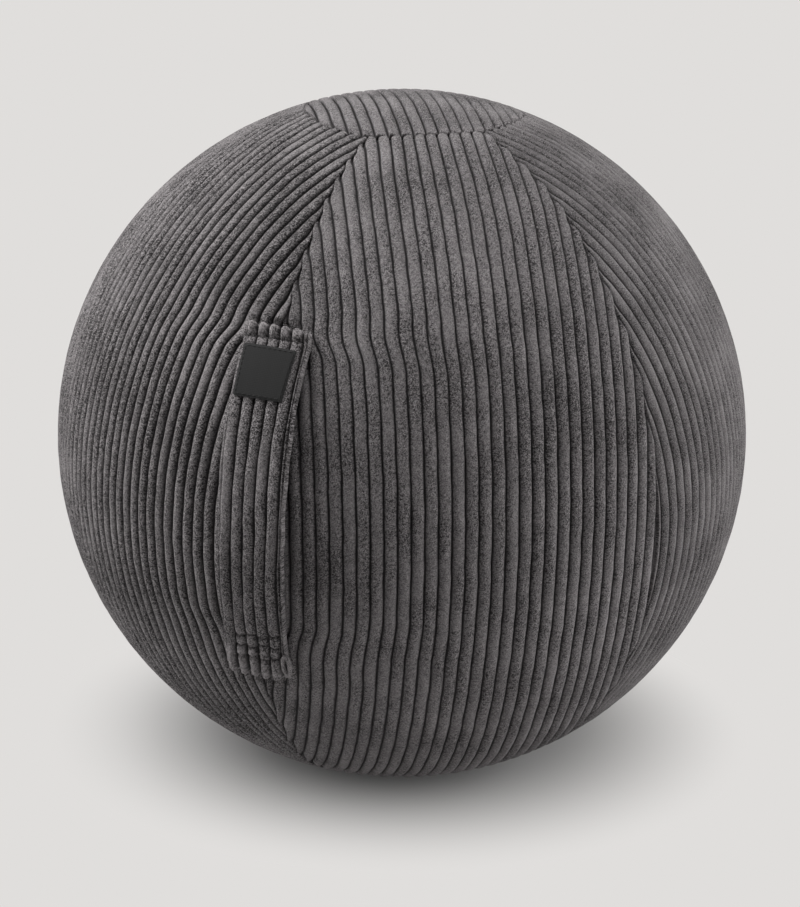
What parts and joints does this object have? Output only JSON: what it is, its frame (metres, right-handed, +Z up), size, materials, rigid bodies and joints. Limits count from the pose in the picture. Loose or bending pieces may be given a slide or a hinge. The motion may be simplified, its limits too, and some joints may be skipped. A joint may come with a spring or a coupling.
{
  "type": "sitting ball",
  "caption": "Inflated sitting ball in a sewn cover of wide-ribbed corduroy gores and caps, with a carrying handle, a bare label and a rear zip.",
  "frame": {"origin": "middle of the flat patch that the ball stands on", "axes": "+Z up through the ball's centre; the handle's seam faces -Y and the zip's seam faces +Y"},
  "size_m": [0.6496, 0.6616, 0.6469],
  "materials": {
    "corduroy": "dark warm grey wide-ribbed corduroy with a short pile",
    "label_cloth": "black woven patch, bare",
    "thread": "dark grey sewing thread",
    "zip_tape": "dark woven tape",
    "zip_teeth": "moulded nylon",
    "zip_metal": "dark enamelled zinc",
    "bladder": "satin soft PVC",
    "valve": "moulded"
  },
  "bodies": {
    "ball": {"gore_front": "corduroy", "gore_right": "corduroy", "gore_rear_right": "corduroy", "gore_rear_left": "corduroy", "gore_far_left": "corduroy", "gore_left": "corduroy", "top_cap": "corduroy", "bottom_cap": "corduroy", "handle_upper_end": "corduroy", "handle_upper_run": "corduroy", "handle_lower_run": "corduroy", "handle_lower_end": "corduroy", "handle_stitch_upper": "thread", "handle_stitch_lower_1": "thread", "handle_stitch_lower_2": "thread", "label": "label_cloth", "label_stitching": "thread", "zip_tape_left": "zip_tape", "zip_tape_right": "zip_tape", "zip_teeth_left": "zip_teeth", "zip_teeth_right": "zip_teeth", "zip_stitch_left": "thread", "zip_stitch_right": "thread", "zip_top_stop": "zip_metal", "zip_bottom_stop": "zip_metal", "bladder": "bladder", "valve_seat": "valve", "valve_plug": "valve"},
    "grip": {"handle_grip": "corduroy"},
    "slider": {"zip_slider": "zip_metal"},
    "puller": {"zip_puller": "zip_metal"}
  },
  "joints": [
    {"name": "handle_lift", "type": "slide", "parent": "ball", "child": "grip", "axis": [0, -0.9909, 0.1349], "range_m": [0, 0.02], "deforming": ["handle_upper_run", "handle_lower_run"]},
    {"name": "zip_travel", "type": "hinge", "parent": "ball", "child": "slider", "pos_m": [0, 0, 0.32187], "axis": [-1, 0, 0], "range_deg": [0, 52.5]},
    {"name": "puller_swing", "type": "hinge", "parent": "slider", "child": "puller", "pos_m": [0, 0.31888, 0.39011], "axis": [1, 0, 0], "range_deg": [0, 170]}
  ]
}
